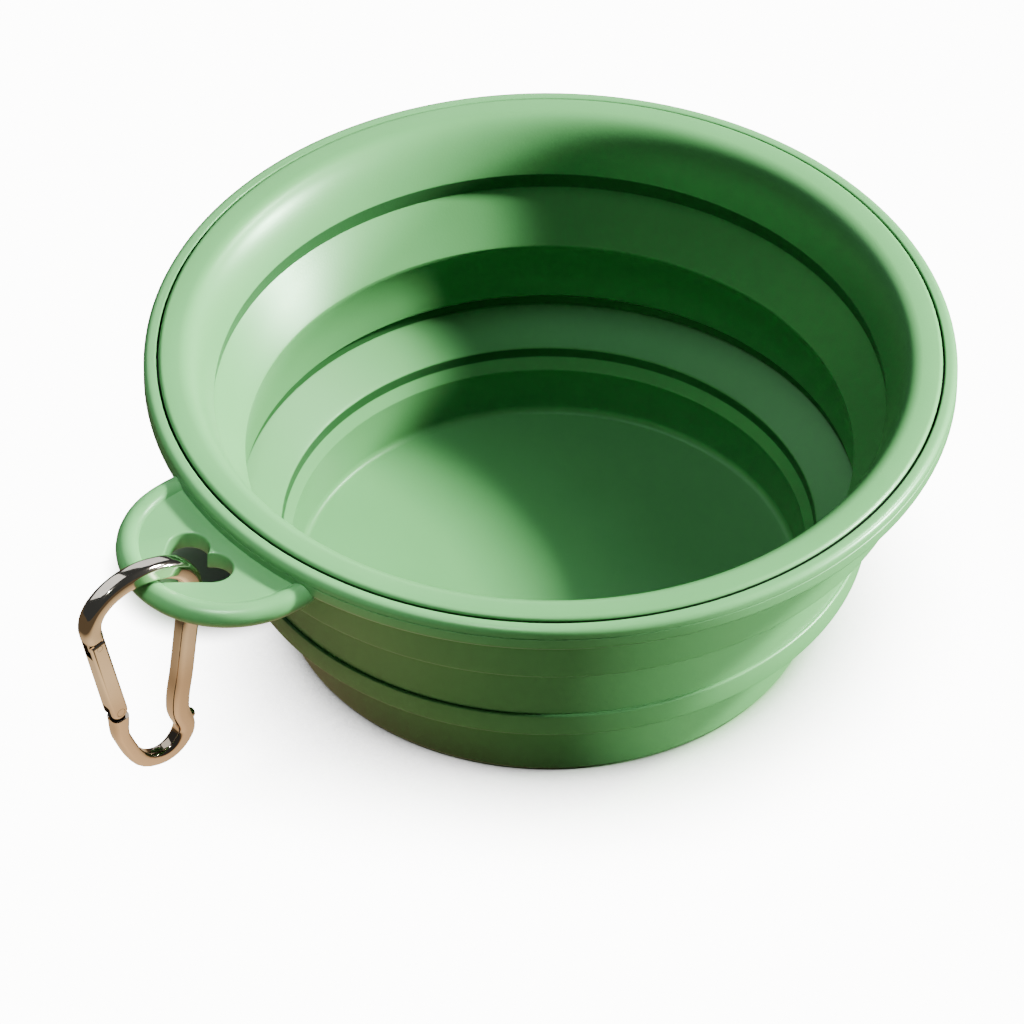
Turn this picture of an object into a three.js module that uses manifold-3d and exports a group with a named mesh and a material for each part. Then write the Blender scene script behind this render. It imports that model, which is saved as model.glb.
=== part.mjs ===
// Collapsible pet bowl with a hard rim, a lug and a snap hook.
// Millimetres, +Z up. The origin is the centre of the base underside, and the lug points along -X.
import * as THREE from 'three';
import { mergeVertices } from 'three/addons/utils/BufferGeometryUtils.js';
import Module from 'manifold-3d';

const wasm = await Module();
wasm.setup();

// Facet counts
const ROUND_SEGMENTS = 64;
const ARC_POINTS = 3;
const LUG_ARC_POINTS = 12;
const HEART_ARC_POINTS = 8;
const BEVEL_STEPS = 2;
const PIN_SEGMENTS = 16;
const ARCH_SPANS = 8;
const NUB_SIDES = 10;
const NUB_ROWS = 8;

// Points nearer to each other than this are one point
const MERGE_DISTANCE = 1e-4;

// Clearances
const SEAM_GAP = 0.3;
const FOLD_GAP = 0.3;
const PIN_GAP = 0.25;
const HANG_GAP = 0.85;

// Base cup
const BASE_TOP_THICKNESS = 2.3;
const BASE_FOOT_THICKNESS = 2.1;
const BASE_TAPER = 0.8;
const BASE_HEIGHT = 10.1;
const FLOOR_THICKNESS = 1.6;
const FLOOR_FILLET = 1.2;
const FOOT_ROUND = 0.8;

// Lower fold, a shallow tread and a short collar above the base cup
const LOWER_FOLD_HEIGHT = 7.1;
const LOWER_TREAD_DROP = 3.7;
const LOWER_COLLAR_DROP = 1.7;
const LOWER_TREAD_RUN = 6.9;
const LOWER_COLLAR_LEAN = 0.2;
const LOWER_COLLAR_THICKNESS = 0.9;
const FOLD_THICKNESS = 1.5;

// Middle band
const BAND_HEIGHT = 13.7;
const BAND_TOP_THICKNESS = 2.1;
const BAND_FOOT_THICKNESS = 0.8;
const BAND_BEAD_PROUD = 0.5;
const BAND_BEAD_ABOVE_FOLD = 2.6;
const BAND_BEAD_SLOPE = 0.4;

// Upper fold
const UPPER_FOLD_HEIGHT = 8.4;
const UPPER_FOLD_RUN = 5.2;

// Upper wall and soft lip
const WALL_THICKNESS = 4.5;
const SKIRT_BELOW_FOLD = 4.6;
const SKIRT_THICKNESS = 2;
const LAND_HEIGHT = 2.8;
const LAND_LEAN = 0.3;
const WALL_HEIGHT = 11.9;
const LIP_FLAT = 3.1;
const LIP_OVERHANG = 4;
const LIP_THICKNESS = 2.9;
const LIP_EDGE_ROUND = 0.5;

// Hard rim ring
const RIM_OUTER_RADIUS = 65;
const RIM_WIDTH = 2.1;
const RIM_TOP_BELOW_LIP = 0.5;
const RIM_DROP = 4.2;
const RIM_FLANGE_THICKNESS = 1.8;
const RIM_TOP_ROUND = 1;
const RIM_BOTTOM_ROUND = 0.7;

// Lug with a raised bead and a heart-shaped hole
const LUG_PROUD = 18;
const LUG_RADIUS = 17.7;
const LUG_ROOT_DEPTH = 4;
const LUG_TOP_BELOW_RIM = 3.3;
const LUG_THICKNESS = 3.4;
const LUG_EDGE_ROUND = 0.8;
const BEAD_WIDTH = 3.4;
const BEAD_RISE = 0.9;
const BEAD_ROUND = 1.2;
const BEAD_RUN_IN = 2.6;
const HEART_LOBE_RADIUS = 3.3;
const HEART_LOBE_OVERLAP = 0.3;
const HEART_LENGTH = 9;
const HEART_BAR = 3.2;

// Snap hook, measured in its own plane, outwards from the bar that it hangs on
const HOOK_BAR = 3.3;
const HOOK_CORNER = 1.1;
const HOOK_STEPS = 44;
const HOOK_CORNER_POINTS = 1;
const ARCH_SHIFT = 3.2;
const ARCH_INNER_WIDTH = 11.78;
const ARCH_INNER_HEIGHT = 8.2;
const ARCH_OUTER_WIDTH = 8.1;
const ARCH_OUTER_HEIGHT = 5.6;
const HANG_DROP = 1.6;
const NOSE_DROP = 2.55;
const NOSE_INSET = 0.4;
const GATE_LENGTH = 17.6;
const GATE_LEAN = THREE.MathUtils.degToRad(13.5);
const GATE_WIDTH = 3;
const GATE_EDGE_ROUND = 0.5;
const NOSE_GATE_GAP = 0.5;
const INNER_LEG_DROP = 24.4;
const INNER_LEG_INSET = 3.05;
const HEEL_DROP = 30.1;
const HEEL_INSET = 2.15;
const TOE_DROP = 32.7;
const TOE_SHIFT = -4.33;
const SHOULDER_GAP = 0.4;
const SHOULDER_DROP = 5.2;
const SHOULDER_INSET = 0.7;
const NUB_RADIUS = 0.9;
const NUB_PROUD = 0.4;

// Tongues, pins and the closing spring of the gate
const TONGUE_THICKNESS = 1.2;
const SLOT_SIDE_GAP = 0.25;
const RIVET_RADIUS = 0.7;
const LATCH_PIN_RADIUS = 0.5;
const LATCH_PIN_INSET = 1.7;
const NOSE_TONGUE_REACH = 2.7;
const NOSE_TONGUE_WIDTH = 2.4;
const NOSE_SLOT_DEPTH = 3.2;
const SPRING_BORE_RADIUS = 0.95;
const SPRING_BORE_DEPTH = 8;
const SPRING_WIRE = 0.25;
const BORE_CLEARANCE = 0.3;
const SPRING_TURNS = 6;
const SPRING_STEPS_PER_TURN = 8;
const SPRING_SIDES = 5;
const SPRING_END_GAP = 0.3;
const PLUNGER_LENGTH = 1.6;

// Heights that follow from the stack of bands and folds
const foldLowTop = BASE_HEIGHT + LOWER_FOLD_HEIGHT;
const bandTop = foldLowTop + BAND_HEIGHT;
const foldHighTop = bandTop + UPPER_FOLD_HEIGHT;
const lipTop = foldHighTop + WALL_HEIGHT;
const lipSeat = lipTop - LIP_THICKNESS;
const rimTop = lipTop - RIM_TOP_BELOW_LIP;
const rimBottom = rimTop - RIM_DROP;
const lugTop = rimTop - LUG_TOP_BELOW_RIM;
const lugBottom = lugTop - LUG_THICKNESS;
const beadTop = lugTop + BEAD_RISE;

// Radii that follow from the rim inwards
const rimInner = RIM_OUTER_RADIUS - RIM_WIDTH;
const lipOuter = rimInner - SEAM_GAP;
const lipInner = lipOuter - LIP_FLAT;
const wallOuter = lipOuter - LIP_OVERHANG;
const foldHighOuter = wallOuter - WALL_THICKNESS;
const landInner = foldHighOuter - LAND_LEAN;
const bandInner = foldHighOuter - UPPER_FOLD_RUN;
const bandOuter = bandInner + BAND_TOP_THICKNESS;
const bandBeadOuter = bandOuter + BAND_BEAD_PROUD;
const bandFootInner = bandOuter - BAND_FOOT_THICKNESS;
const treadInner = bandFootInner - LOWER_TREAD_RUN;
const collarInner = treadInner - LOWER_COLLAR_LEAN;
const baseOuter = collarInner + LOWER_COLLAR_THICKNESS;
const baseTopInner = baseOuter - BASE_TOP_THICKNESS;
const baseFoot = baseOuter - BASE_TAPER;
const baseFloor = baseFoot - BASE_FOOT_THICKNESS;
const lugReach = RIM_OUTER_RADIUS + LUG_PROUD;
const heartLobeOffset = HEART_LOBE_RADIUS - HEART_LOBE_OVERLAP;
const lugCentre = lugReach - LUG_RADIUS;
const lugRoot = RIM_OUTER_RADIUS - LUG_ROOT_DEPTH;

// Width of the upper fold measured level, and depth of the lower tread measured upright
const foldWidth = FOLD_THICKNESS * Math.hypot(UPPER_FOLD_HEIGHT, UPPER_FOLD_RUN) / UPPER_FOLD_HEIGHT;
const treadDepth = FOLD_THICKNESS * Math.hypot(LOWER_TREAD_DROP, LOWER_TREAD_RUN) / LOWER_TREAD_RUN;

// Mesh and solid conversions
function toSolid(geometry) {
  const bare = geometry.index ? geometry.toNonIndexed() : geometry.clone();
  bare.deleteAttribute('normal');
  bare.deleteAttribute('uv');
  const merged = mergeVertices(bare, MERGE_DISTANCE);
  return new wasm.Manifold(new wasm.Mesh({
    numProp: 3,
    vertProperties: new Float32Array(merged.attributes.position.array),
    triVerts: new Uint32Array(merged.index.array),
  }));
}

function toGeometry(solid) {
  const mesh = solid.getMesh();
  const geometry = new THREE.BufferGeometry();
  geometry.setAttribute('position', new THREE.BufferAttribute(mesh.vertProperties, 3));
  geometry.setIndex(new THREE.BufferAttribute(mesh.triVerts, 1));
  return geometry;
}

// A closed half-section of (radius, height), listed anticlockwise, turned about Z
function turned(path) {
  const points = path.getPoints(ARC_POINTS);
  const first = points[0];
  const last = points[points.length - 1];
  if (first.distanceTo(last) > MERGE_DISTANCE) {
    points.push(first.clone());
  }
  const geometry = new THREE.LatheGeometry(points, ROUND_SEGMENTS);
  geometry.rotateX(Math.PI / 2);
  return geometry;
}

function sectionFrom(points) {
  const path = new THREE.Path();
  path.moveTo(points[0][0], points[0][1]);
  for (const [radius, height] of points.slice(1)) {
    path.lineTo(radius, height);
  }
  return path;
}

// Materials
const softGreen = { color: 0x7fb583, roughness: 0.55, metalness: 0 };
const hardGreen = { color: 0x86bb89, roughness: 0.38, metalness: 0 };
const polished = { color: 0xe6dccb, roughness: 0.12, metalness: 1 };
const steel = { color: 0xb9bbbd, roughness: 0.3, metalness: 1 };

function piece(name, geometry, finish) {
  const mesh = new THREE.Mesh(geometry, new THREE.MeshStandardMaterial(finish));
  mesh.name = name;
  return mesh;
}

// Base cup with a flat floor, a filleted corner and a rounded foot
function baseCup() {
  const path = new THREE.Path();
  path.moveTo(0, 0);
  path.lineTo(baseFoot - FOOT_ROUND, 0);
  path.absarc(baseFoot - FOOT_ROUND, FOOT_ROUND, FOOT_ROUND, -Math.PI / 2, 0, false);
  path.lineTo(baseOuter, BASE_HEIGHT - FOLD_GAP);
  path.lineTo(baseTopInner, BASE_HEIGHT - FOLD_GAP);
  path.lineTo(baseFloor, FLOOR_THICKNESS + FLOOR_FILLET);
  path.quadraticCurveTo(
    baseFloor, FLOOR_THICKNESS, baseFloor - FLOOR_FILLET, FLOOR_THICKNESS);
  path.lineTo(0, FLOOR_THICKNESS);
  const geometry = new THREE.LatheGeometry(path.getPoints(ARC_POINTS), ROUND_SEGMENTS);
  geometry.rotateX(Math.PI / 2);
  return geometry;
}

// Shallow tread and collar that turn inside out between the base cup and the middle band
function lowerFold() {
  const outer = bandFootInner - FOLD_GAP;
  const slope = LOWER_TREAD_DROP / LOWER_TREAD_RUN;
  const top = foldLowTop - slope * FOLD_GAP;
  const treadFoot = foldLowTop - LOWER_TREAD_DROP;
  const underEdge = foldLowTop - slope * (bandFootInner - baseOuter) - treadDepth;
  return turned(sectionFrom([
    [baseTopInner, BASE_HEIGHT],
    [baseOuter, BASE_HEIGHT],
    [baseOuter, underEdge],
    [outer, top - treadDepth],
    [outer, top],
    [treadInner, treadFoot],
    [collarInner, treadFoot - LOWER_COLLAR_DROP],
  ]));
}

// Stiff middle band with a bead round its foot
function middleBand() {
  const foot = foldLowTop - treadDepth;
  const beadHeight = foldLowTop + BAND_BEAD_ABOVE_FOLD;
  const top = bandTop - FOLD_GAP;
  return turned(sectionFrom([
    [bandFootInner, foot],
    [bandBeadOuter - BAND_BEAD_SLOPE, foot],
    [bandBeadOuter, foot + BAND_BEAD_SLOPE],
    [bandBeadOuter, beadHeight - BAND_BEAD_SLOPE],
    [bandOuter, beadHeight],
    [bandOuter, top],
    [bandInner, top],
    [bandFootInner, foldLowTop],
  ]));
}

// Sloping web that turns inside out between the middle band and the upper wall
function upperFold() {
  const top = foldHighTop - FOLD_GAP;
  const inset = FOLD_GAP * UPPER_FOLD_RUN / UPPER_FOLD_HEIGHT;
  return turned(sectionFrom([
    [bandInner, bandTop],
    [bandInner + foldWidth, bandTop],
    [foldHighOuter - inset + foldWidth, top],
    [foldHighOuter - inset, top],
  ]));
}

// Upper wall with a hanging skirt outside and a rolled soft lip on the rim flange
function upperWall() {
  const skirtFoot = foldHighTop - SKIRT_BELOW_FOLD;
  const landTop = foldHighTop + LAND_HEIGHT;
  const path = new THREE.Path();
  path.moveTo(foldHighOuter, foldHighTop);
  path.lineTo(foldHighOuter + foldWidth, foldHighTop);
  path.lineTo(wallOuter - SKIRT_THICKNESS, skirtFoot + SKIRT_THICKNESS);
  path.lineTo(wallOuter - SKIRT_THICKNESS / 2, skirtFoot);
  path.lineTo(wallOuter, skirtFoot);
  path.lineTo(wallOuter, lipSeat);
  path.lineTo(lipOuter, lipSeat);
  path.lineTo(lipOuter, lipTop - LIP_EDGE_ROUND);
  path.quadraticCurveTo(lipOuter, lipTop, lipOuter - LIP_EDGE_ROUND, lipTop);
  path.lineTo(lipInner, lipTop);
  path.bezierCurveTo(
    lipInner - (lipInner - landInner) / 2, lipTop,
    landInner + (lipInner - landInner) / 5, landTop + (lipTop - landTop) / 2,
    landInner, landTop);
  path.lineTo(foldHighOuter, foldHighTop);
  return turned(path);
}

// Heart-shaped hole, lobes towards the bowl and tip towards the lug's edge
function heartOutline() {
  const tip = -(lugReach - HEART_BAR);
  const lobe = tip + HEART_LENGTH;
  const toLobe = Math.hypot(HEART_LENGTH, heartLobeOffset);
  const lean = Math.atan2(heartLobeOffset, HEART_LENGTH) + Math.asin(HEART_LOBE_RADIUS / toLobe);
  const tangent = Math.PI / 2 + lean;
  const cusp = Math.acos(heartLobeOffset / HEART_LOBE_RADIUS);
  const outline = new THREE.Path();
  outline.moveTo(tip, 0);
  outline.absarc(lobe, -heartLobeOffset, HEART_LOBE_RADIUS, -tangent, Math.PI / 2 - cusp, false);
  outline.absarc(lobe, heartLobeOffset, HEART_LOBE_RADIUS, cusp - Math.PI / 2, tangent, false);
  outline.lineTo(tip, 0);
  return outline;
}

// Plate of the lug, a half disc that runs in under the rim
function lugPlate() {
  const edge = LUG_RADIUS - LUG_EDGE_ROUND;
  const shape = new THREE.Shape();
  const rootAngle = Math.asin(edge / lugRoot);
  shape.absarc(0, 0, lugRoot, Math.PI + rootAngle, Math.PI - rootAngle, true);
  shape.absarc(-lugCentre, 0, edge, Math.PI / 2, Math.PI * 3 / 2, false);
  const geometry = new THREE.ExtrudeGeometry(shape, {
    depth: LUG_THICKNESS - 2 * LUG_EDGE_ROUND,
    bevelThickness: LUG_EDGE_ROUND,
    bevelSize: LUG_EDGE_ROUND,
    bevelSegments: BEVEL_STEPS,
    curveSegments: LUG_ARC_POINTS,
  });
  geometry.translate(0, 0, lugBottom + LUG_EDGE_ROUND);
  return geometry;
}

// Raised bead along the lug's edge, with round ends beside the rim
function lugBead() {
  const outer = LUG_RADIUS - BEAD_ROUND;
  const inner = LUG_RADIUS - BEAD_WIDTH + BEAD_ROUND;
  const middle = (outer + inner) / 2;
  const half = (outer - inner) / 2;
  const end = BEAD_RUN_IN - lugCentre;
  const shape = new THREE.Shape();
  shape.moveTo(end, outer);
  shape.absarc(-lugCentre, 0, outer, Math.PI / 2, Math.PI * 3 / 2, false);
  shape.absarc(end, -middle, half, -Math.PI / 2, Math.PI / 2, false);
  shape.absarc(-lugCentre, 0, inner, Math.PI * 3 / 2, Math.PI / 2, true);
  shape.absarc(end, middle, half, -Math.PI / 2, Math.PI / 2, false);
  const geometry = new THREE.ExtrudeGeometry(shape, {
    depth: LUG_THICKNESS + BEAD_RISE - 2 * BEAD_ROUND,
    bevelThickness: BEAD_ROUND,
    bevelSize: BEAD_ROUND,
    bevelSegments: BEVEL_STEPS,
    curveSegments: LUG_ARC_POINTS,
  });
  geometry.translate(0, 0, lugBottom + BEAD_ROUND);
  return geometry;
}

// Hard rim: an upright ring round the lip, a flange under it and the lug
function rimRing() {
  const path = new THREE.Path();
  const flangeInner = wallOuter + SEAM_GAP;
  path.moveTo(flangeInner, lipSeat - RIM_FLANGE_THICKNESS);
  path.lineTo(rimInner, lipSeat - RIM_FLANGE_THICKNESS);
  path.lineTo(rimInner, rimBottom);
  path.lineTo(RIM_OUTER_RADIUS - RIM_BOTTOM_ROUND, rimBottom);
  path.lineTo(RIM_OUTER_RADIUS, rimBottom + RIM_BOTTOM_ROUND);
  path.lineTo(RIM_OUTER_RADIUS, rimTop - RIM_TOP_ROUND);
  path.absarc(
    RIM_OUTER_RADIUS - RIM_TOP_ROUND, rimTop - RIM_TOP_ROUND, RIM_TOP_ROUND, 0, Math.PI / 2, false);
  path.lineTo(rimInner, rimTop);
  path.lineTo(rimInner, lipSeat);
  path.lineTo(flangeInner, lipSeat);
  const heart = new THREE.ExtrudeGeometry(new THREE.Shape(heartOutline().getPoints(HEART_ARC_POINTS)), {
    depth: beadTop - lugBottom + 2 * LUG_THICKNESS,
    bevelEnabled: false,
  });
  heart.translate(0, 0, lugBottom - LUG_THICKNESS);
  return toGeometry(toSolid(turned(path)).add(toSolid(lugPlate())).add(toSolid(lugBead()))
    .subtract(toSolid(heart)));
}

// Places in the hook's own plane: across runs outward from the bowl, up runs along Z
const archTop = beadTop + HANG_GAP + HOOK_BAR / 2;
const hangRadius = lugReach - HEART_BAR / 2;
const hangHeight = (beadTop + lugBottom) / 2 - HANG_DROP;
const archFoot = archTop - ARCH_INNER_HEIGHT - hangHeight;
const noseRoot = archTop - ARCH_OUTER_HEIGHT - hangHeight;
const legRoot = ARCH_SHIFT - ARCH_INNER_WIDTH;
const noseEnd = new THREE.Vector2(ARCH_SHIFT + ARCH_OUTER_WIDTH - NOSE_INSET, noseRoot - NOSE_DROP);
const gateDirection = new THREE.Vector2(Math.sin(GATE_LEAN), Math.cos(GATE_LEAN));
const rivetPlace = noseEnd.clone().addScaledVector(gateDirection, -(NOSE_GATE_GAP + GATE_LENGTH));

function hookPoint(across, up) {
  return new THREE.Vector3(-across, 0, up);
}

// Centre line of the bent bar from the nose over the arch to the shoulder below the gate
function hookCurve() {
  const points = [hookPoint(noseEnd.x, noseEnd.y)];
  for (let index = 0; index <= ARCH_SPANS; index += 1) {
    const angle = Math.PI * index / ARCH_SPANS;
    const outer = index < ARCH_SPANS / 2;
    const width = outer ? ARCH_OUTER_WIDTH : ARCH_INNER_WIDTH;
    const height = outer ? ARCH_OUTER_HEIGHT : ARCH_INNER_HEIGHT;
    points.push(hookPoint(
      ARCH_SHIFT + width * Math.cos(angle), archTop - hangHeight - height * (1 - Math.sin(angle))));
  }
  points.push(hookPoint(legRoot + INNER_LEG_INSET / 3, archFoot - INNER_LEG_DROP / 3));
  points.push(hookPoint(legRoot + INNER_LEG_INSET * 2 / 3, archFoot - INNER_LEG_DROP * 2 / 3));
  points.push(hookPoint(legRoot + INNER_LEG_INSET, archFoot - INNER_LEG_DROP));
  points.push(hookPoint(legRoot + HEEL_INSET, archFoot - HEEL_DROP));
  points.push(hookPoint(ARCH_SHIFT + TOE_SHIFT, archFoot - TOE_DROP));
  const shoulder = rivetPlace.clone().addScaledVector(gateDirection, -GATE_WIDTH / 2 - SHOULDER_GAP);
  points.push(hookPoint(shoulder.x - SHOULDER_INSET, shoulder.y - SHOULDER_DROP));
  points.push(hookPoint(shoulder.x, shoulder.y));
  return new THREE.CatmullRomCurve3(points, false, 'centripetal');
}

function roundedSquare(side, corner) {
  const half = side / 2;
  const straight = half - corner;
  const shape = new THREE.Shape();
  shape.absarc(straight, straight, corner, 0, Math.PI / 2, false);
  shape.absarc(-straight, straight, corner, Math.PI / 2, Math.PI, false);
  shape.absarc(-straight, -straight, corner, Math.PI, Math.PI * 3 / 2, false);
  shape.absarc(straight, -straight, corner, Math.PI * 3 / 2, Math.PI * 2, false);
  return shape;
}

// A round pin across the hook's plane
function crossPin(radius, length, place) {
  const geometry = new THREE.CylinderGeometry(radius, radius, length, PIN_SEGMENTS);
  geometry.translate(-place.x, 0, place.y);
  return geometry;
}

// A box along the gate: from and to are distances from the rivet towards the nose
function gateBox(from, to, width, thickness, aside = 0) {
  const geometry = new THREE.BoxGeometry(width, thickness, to - from);
  geometry.translate(-aside, 0, (from + to) / 2);
  geometry.rotateY(-GATE_LEAN);
  geometry.translate(-rivetPlace.x, 0, rivetPlace.y);
  return geometry;
}

const latchPlace = noseEnd.clone().addScaledVector(gateDirection, -LATCH_PIN_INSET);
const slotWidth = TONGUE_THICKNESS + 2 * SLOT_SIDE_GAP;
const noseDistance = NOSE_GATE_GAP + GATE_LENGTH;
const latchDistance = noseDistance - LATCH_PIN_INSET;
const hingeTongueTop = RIVET_RADIUS + PIN_GAP + SLOT_SIDE_GAP;
const hingeTongueHalf = GATE_WIDTH / 2 - GATE_EDGE_ROUND;
const hingeSlotTop = Math.hypot(hingeTongueTop, hingeTongueHalf) + SLOT_SIDE_GAP;

// Bent bar with a notched tongue at the nose, a bored tongue at the gate's hinge and a cast nub
function hookBody() {
  const bar = new THREE.ExtrudeGeometry(roundedSquare(HOOK_BAR, HOOK_CORNER), {
    steps: HOOK_STEPS,
    curveSegments: HOOK_CORNER_POINTS,
    extrudePath: hookCurve(),
  });
  const noseTongue = gateBox(
    noseDistance - NOSE_TONGUE_REACH, noseDistance + HOOK_BAR / 2, NOSE_TONGUE_WIDTH,
    TONGUE_THICKNESS);
  const notchReach = HOOK_BAR;
  const notch = gateBox(
    latchDistance - LATCH_PIN_RADIUS - PIN_GAP, latchDistance + LATCH_PIN_RADIUS + PIN_GAP,
    notchReach, slotWidth, LATCH_PIN_RADIUS + PIN_GAP - notchReach / 2);
  const hingeTongue = gateBox(
    -GATE_WIDTH / 2 - SHOULDER_GAP - HOOK_BAR / 2, hingeTongueTop, 2 * hingeTongueHalf,
    TONGUE_THICKNESS);
  const rivetHole = crossPin(RIVET_RADIUS + PIN_GAP, HOOK_BAR, rivetPlace);
  const nub = new THREE.SphereGeometry(NUB_RADIUS, NUB_SIDES, NUB_ROWS);
  nub.translate(
    -(legRoot + HEEL_INSET - HOOK_BAR / 2 - NUB_PROUD + NUB_RADIUS / 2), 0,
    archFoot - (INNER_LEG_DROP + HEEL_DROP) / 2);
  return toGeometry(toSolid(bar).add(toSolid(noseTongue)).add(toSolid(hingeTongue))
    .add(toSolid(nub)).subtract(toSolid(notch)).subtract(toSolid(rivetHole)));
}

// Gate: a bar with a round foot about the rivet, forked at both ends and bored for its spring
function hookGate() {
  const half = GATE_WIDTH / 2 - GATE_EDGE_ROUND;
  const shape = new THREE.Shape();
  shape.moveTo(half, GATE_LENGTH - GATE_EDGE_ROUND);
  shape.lineTo(-half, GATE_LENGTH - GATE_EDGE_ROUND);
  shape.lineTo(-half, 0);
  shape.absarc(0, 0, half, Math.PI, Math.PI * 2, false);
  const bar = new THREE.ExtrudeGeometry(shape, {
    depth: GATE_WIDTH - 2 * GATE_EDGE_ROUND,
    bevelThickness: GATE_EDGE_ROUND,
    bevelSize: GATE_EDGE_ROUND,
    bevelSegments: BEVEL_STEPS,
    curveSegments: ARC_POINTS,
  });
  bar.translate(0, 0, -GATE_WIDTH / 2 + GATE_EDGE_ROUND);
  bar.rotateX(Math.PI / 2);
  bar.rotateY(-GATE_LEAN);
  bar.translate(-rivetPlace.x, 0, rivetPlace.y);
  const noseSlot = gateBox(
    GATE_LENGTH - NOSE_SLOT_DEPTH, GATE_LENGTH + HOOK_BAR, GATE_WIDTH * 2, slotWidth);
  const hingeSlot = gateBox(-GATE_WIDTH, hingeSlotTop, GATE_WIDTH * 2, slotWidth);
  const bore = new THREE.CylinderGeometry(
    SPRING_BORE_RADIUS, SPRING_BORE_RADIUS, SPRING_BORE_DEPTH, PIN_SEGMENTS);
  bore.rotateX(Math.PI / 2);
  bore.translate(0, 0, hingeSlotTop + SPRING_BORE_DEPTH / 2 - SPRING_END_GAP);
  bore.rotateY(-GATE_LEAN);
  bore.translate(-rivetPlace.x, 0, rivetPlace.y);
  const rivetHole = crossPin(RIVET_RADIUS + PIN_GAP, GATE_WIDTH * 2, rivetPlace);
  const latchHole = crossPin(LATCH_PIN_RADIUS + PIN_GAP, GATE_WIDTH * 2, latchPlace);
  return toGeometry(toSolid(bar).subtract(toSolid(noseSlot)).subtract(toSolid(hingeSlot))
    .subtract(toSolid(bore)).subtract(toSolid(rivetHole)).subtract(toSolid(latchHole)));
}

const plungerFoot = hingeSlotTop;
const plungerRadius = SPRING_BORE_RADIUS - BORE_CLEARANCE;
const coilRadius = plungerRadius - SPRING_WIRE / 2;
const springFoot = plungerFoot + PLUNGER_LENGTH + SPRING_END_GAP;
const springTop = hingeSlotTop + SPRING_BORE_DEPTH - 2 * SPRING_END_GAP;

// Turns a shape drawn along Z from the rivet into the gate's leaning bore
function alongGate(geometry) {
  geometry.rotateY(-GATE_LEAN);
  geometry.translate(-rivetPlace.x, 0, rivetPlace.y);
  return geometry;
}

class SpringLine extends THREE.Curve {
  getPoint(share, target = new THREE.Vector3()) {
    const angle = share * SPRING_TURNS * Math.PI * 2;
    const foot = springFoot + SPRING_WIRE / 2;
    const rise = springTop - springFoot - SPRING_WIRE;
    return target.set(
      coilRadius * Math.cos(angle), coilRadius * Math.sin(angle), foot + rise * share);
  }
}

// Closing spring, one unbroken wire
function gateSpring() {
  const line = new SpringLine();
  const wire = new THREE.Shape();
  wire.absarc(0, 0, SPRING_WIRE / 2, 0, Math.PI * 2, false);
  const section = new THREE.Shape(wire.getSpacedPoints(SPRING_SIDES).slice(0, SPRING_SIDES));
  const steps = SPRING_TURNS * SPRING_STEPS_PER_TURN;
  const points = line.getPoints(steps);
  let leastGap = Infinity;
  for (let index = 0; index + SPRING_STEPS_PER_TURN / 2 <= steps; index += 1) {
    for (let other = index + SPRING_STEPS_PER_TURN / 2; other <= steps; other += 1) {
      leastGap = Math.min(leastGap, points[index].distanceTo(points[other]) - SPRING_WIRE);
    }
  }
  console.log(`gate spring, least gap to itself ${leastGap.toFixed(3)} mm`);
  return alongGate(new THREE.ExtrudeGeometry(section, { steps, extrudePath: line }));
}

function springPlunger() {
  const geometry = new THREE.CylinderGeometry(plungerRadius, plungerRadius, PLUNGER_LENGTH, PIN_SEGMENTS);
  geometry.rotateX(Math.PI / 2);
  geometry.translate(0, 0, plungerFoot + PLUNGER_LENGTH / 2);
  return alongGate(geometry);
}

// Bowl and rim in the bowl's frame, hook hanging from the bar of the lug
const bowl = new THREE.Group();
bowl.add(piece('rim_ring', rimRing(), hardGreen));
bowl.add(piece('upper_wall', upperWall(), softGreen));
bowl.add(piece('upper_fold', upperFold(), softGreen));
bowl.add(piece('middle_band', middleBand(), softGreen));
bowl.add(piece('lower_fold', lowerFold(), softGreen));
bowl.add(piece('base_cup', baseCup(), softGreen));

const hook = new THREE.Group();
hook.position.set(-hangRadius, 0, hangHeight);
hook.add(piece('carabiner_body', hookBody(), polished));
hook.add(piece('carabiner_gate', hookGate(), polished));
hook.add(piece('gate_rivet', crossPin(RIVET_RADIUS, GATE_WIDTH, rivetPlace), steel));
hook.add(piece('latch_pin', crossPin(LATCH_PIN_RADIUS, GATE_WIDTH, latchPlace), steel));
hook.add(piece('gate_spring', gateSpring(), steel));
hook.add(piece('spring_plunger', springPlunger(), steel));
bowl.add(hook);

export default bowl;
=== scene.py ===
import math

import bpy
from mathutils import Matrix, Vector


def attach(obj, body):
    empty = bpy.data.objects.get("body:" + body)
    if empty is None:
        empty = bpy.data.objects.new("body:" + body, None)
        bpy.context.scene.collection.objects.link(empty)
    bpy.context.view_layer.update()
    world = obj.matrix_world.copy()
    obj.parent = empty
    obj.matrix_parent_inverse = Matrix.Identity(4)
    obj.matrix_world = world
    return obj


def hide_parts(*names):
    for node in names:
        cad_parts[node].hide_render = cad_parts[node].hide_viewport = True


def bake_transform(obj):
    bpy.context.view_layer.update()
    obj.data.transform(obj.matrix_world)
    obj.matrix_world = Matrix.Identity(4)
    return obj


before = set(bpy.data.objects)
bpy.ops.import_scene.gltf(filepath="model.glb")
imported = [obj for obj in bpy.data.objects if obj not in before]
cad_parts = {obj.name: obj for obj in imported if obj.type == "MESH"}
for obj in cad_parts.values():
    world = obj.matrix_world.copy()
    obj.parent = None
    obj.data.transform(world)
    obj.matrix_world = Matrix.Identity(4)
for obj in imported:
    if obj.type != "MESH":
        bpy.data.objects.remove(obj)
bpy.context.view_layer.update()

# Camera
# A long lens looks down into the bowl from the front, with the lug at the left,
# so the rim is a wide ellipse and the folds inside the far wall can be seen.
CAMERA_DISTANCE = 1.3105
CAMERA_HEIGHT = 1.2147
CAMERA_TURN = math.radians(-39.6)
CAMERA_PITCH = math.radians(42.44)
CAMERA_YAW = math.radians(-0.261)
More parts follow.
